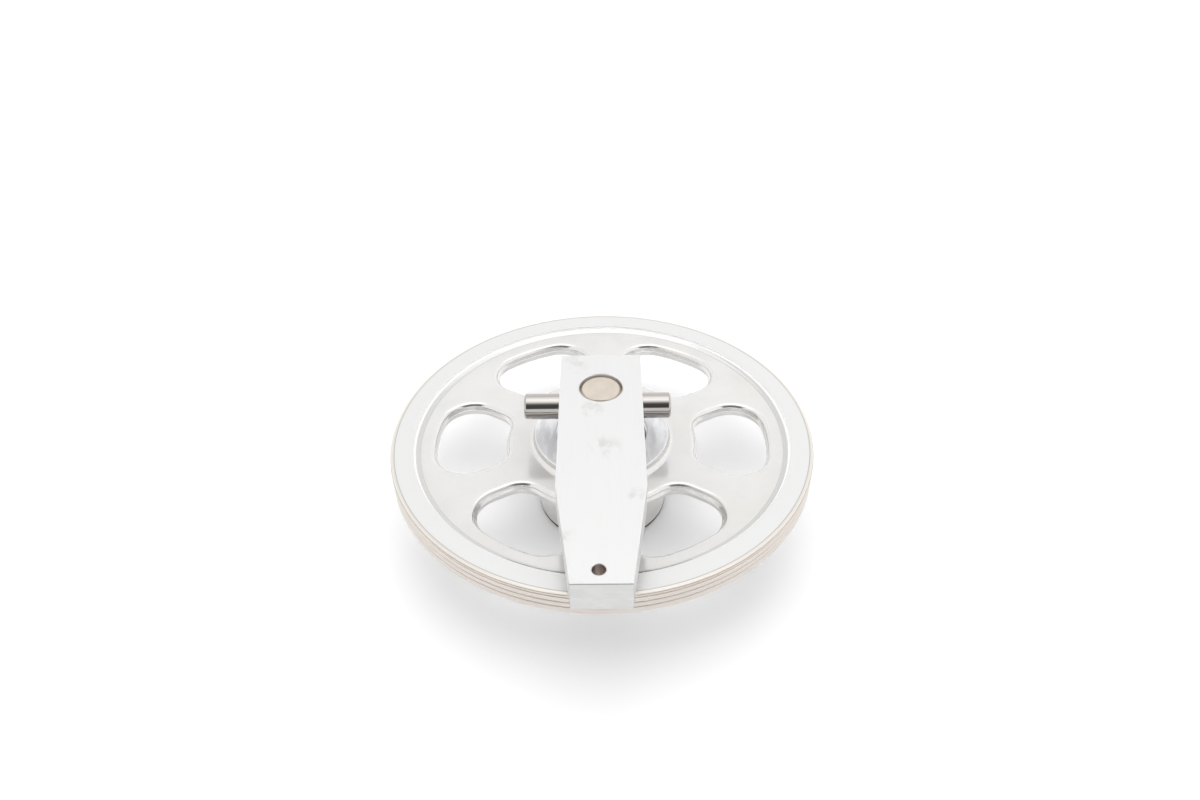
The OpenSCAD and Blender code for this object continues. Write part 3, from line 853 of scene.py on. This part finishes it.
def build_world():
    """A pale room, brighter overhead, with a dark patch in front where the photographer stands."""
    world = bpy.data.worlds.new("room")
    bpy.context.scene.world = world
    world.use_nodes = True
    nodes, links = world.node_tree.nodes, world.node_tree.links
    background = nodes["Background"]
    direction = nodes.new("ShaderNodeTexCoord").outputs["Generated"]
    split = nodes.new("ShaderNodeSeparateXYZ")
    links.new(direction, split.inputs[0])

    def ramp(socket, start, end, low, high):
        node = nodes.new("ShaderNodeMapRange")
        node.interpolation_type = "SMOOTHSTEP"
        for name, amount in (("From Min", start), ("From Max", end), ("To Min", low), ("To Max", high)):
            node.inputs[name].default_value = amount
        links.new(socket, node.inputs["Value"])
        return node.outputs[0]

    def join(operation, a, b):
        node = nodes.new("ShaderNodeMath")
        node.operation = operation
        for socket, value in zip(node.inputs, (a, b)):
            feed(links, socket, value)
        return node.outputs[0]

    def over(angle, span, low, high):
        return ramp(angle, radians(span[0]), radians(span[1]), low, high)

    front = join("MULTIPLY", split.outputs["Y"], -1.0)
    climb = join("ARCTAN2", split.outputs["Z"], front)
    sideways = join("ARCSINE", join("ABSOLUTE", split.outputs["X"], 0.0), 0.0)
    above = over(climb, DARK_FROM, 0.0, 1.0)
    below = over(climb, DARK_TO, 1.0, 0.0)
    within = over(sideways, DARK_ASIDE, 1.0, 0.0)
    darkness = join("MULTIPLY", join("MULTIPLY", above, below), within)
    patch = ramp(darkness, 0.0, 1.0, 1.0, DARK_LEVEL)
    lift = ramp(split.outputs["Z"], LIFT_FROM, 1.0, ROOM_LEVEL, OVERHEAD_LEVEL)
    tilt = ramp(split.outputs["X"], -TILT_REACH, TILT_REACH, SIDE_TILT[0], SIDE_TILT[1])
    reflected = join("MULTIPLY", join("MULTIPLY", patch, lift), tilt)
    wide = over(sideways, FILL_ASIDE, 1.0, 0.0)
    over_gap = over(climb, FILL_FROM, 0.0, 1.0)
    shade = join("MULTIPLY", join("MULTIPLY", over_gap, below), wide)
    low_z, high_z = (sin(radians(angle)) for angle in FILL_LOW_UNTIL)
    near_horizon = ramp(split.outputs["Z"], low_z, high_z, FILL_LOW, 1.0)
    fill = join("MULTIPLY", ramp(shade, 0.0, 1.0, FILL_LEVEL, FILL_LEVEL * FILL_DARK), lift)
    fill = join("MULTIPLY", fill, near_horizon)
    path = nodes.new("ShaderNodeLightPath")

    def choose(ray, a, b):
        node = nodes.new("ShaderNodeMix")
        node.data_type = "FLOAT"
        links.new(path.outputs[ray], node.inputs["Factor"])
        feed(links, node.inputs["A"], a)
        feed(links, node.inputs["B"], b)
        return node.outputs["Result"]

    lit = choose("Is Diffuse Ray", reflected, fill)
    seen = choose("Is Camera Ray", lit, 1.0)
    background.inputs["Color"].default_value = (0.995, 0.995, 1.0, 1)
    links.new(seen, background.inputs["Strength"])


def add_softbox(name, at, size, power):
    """A square area light aimed at the pulley."""
    light = bpy.data.lights.new(name, "AREA")
    light.size = size * MM
    light.energy = power
    lamp = bpy.data.objects.new(name, light)
    bpy.context.scene.collection.objects.link(lamp)
    lamp.location = Vector(at) * MM
    lamp.rotation_mode = "QUATERNION"
    lamp.rotation_quaternion = (-lamp.location).to_track_quat("-Z", "Y")


def add_camera():
    """The viewpoint: above the arm's free end, looking 39 degrees down. The roll is in radians."""
    data = bpy.data.cameras.new("camera")
    data.sensor_width = 36
    data.lens = 30
    data.clip_start = 0.01
    data.clip_end = 50
    camera = bpy.data.objects.new("camera", data)
    bpy.context.scene.collection.objects.link(camera)
    bpy.context.scene.camera = camera
    turn, tilt, roll = radians(0.5), radians(39.1), -0.0162
    stand_back, height = 361.2, RIM_HALF + 313.9
    sideways = -0.5
    camera.location = Matrix.Rotation(turn, 3, "Z") @ Vector((sideways, -stand_back, height)) * MM
    camera.rotation_mode = "QUATERNION"
    level = Matrix.Rotation(turn, 3, "Z") @ Matrix.Rotation(pi / 2 - tilt, 3, "X")
    camera.rotation_quaternion = (level @ Matrix.Rotation(roll, 3, "Z")).to_quaternion()


# ---------------------------------------------------------------- assembly

pieces = [build_wheel(), build_arm(), build_pin()]
paint_everything(pieces)
build_floor()
build_world()
add_softbox("top_softbox", (60, 300, 1100), 900, 1)
add_camera()
bpy.context.scene.view_settings.view_transform = "Standard"
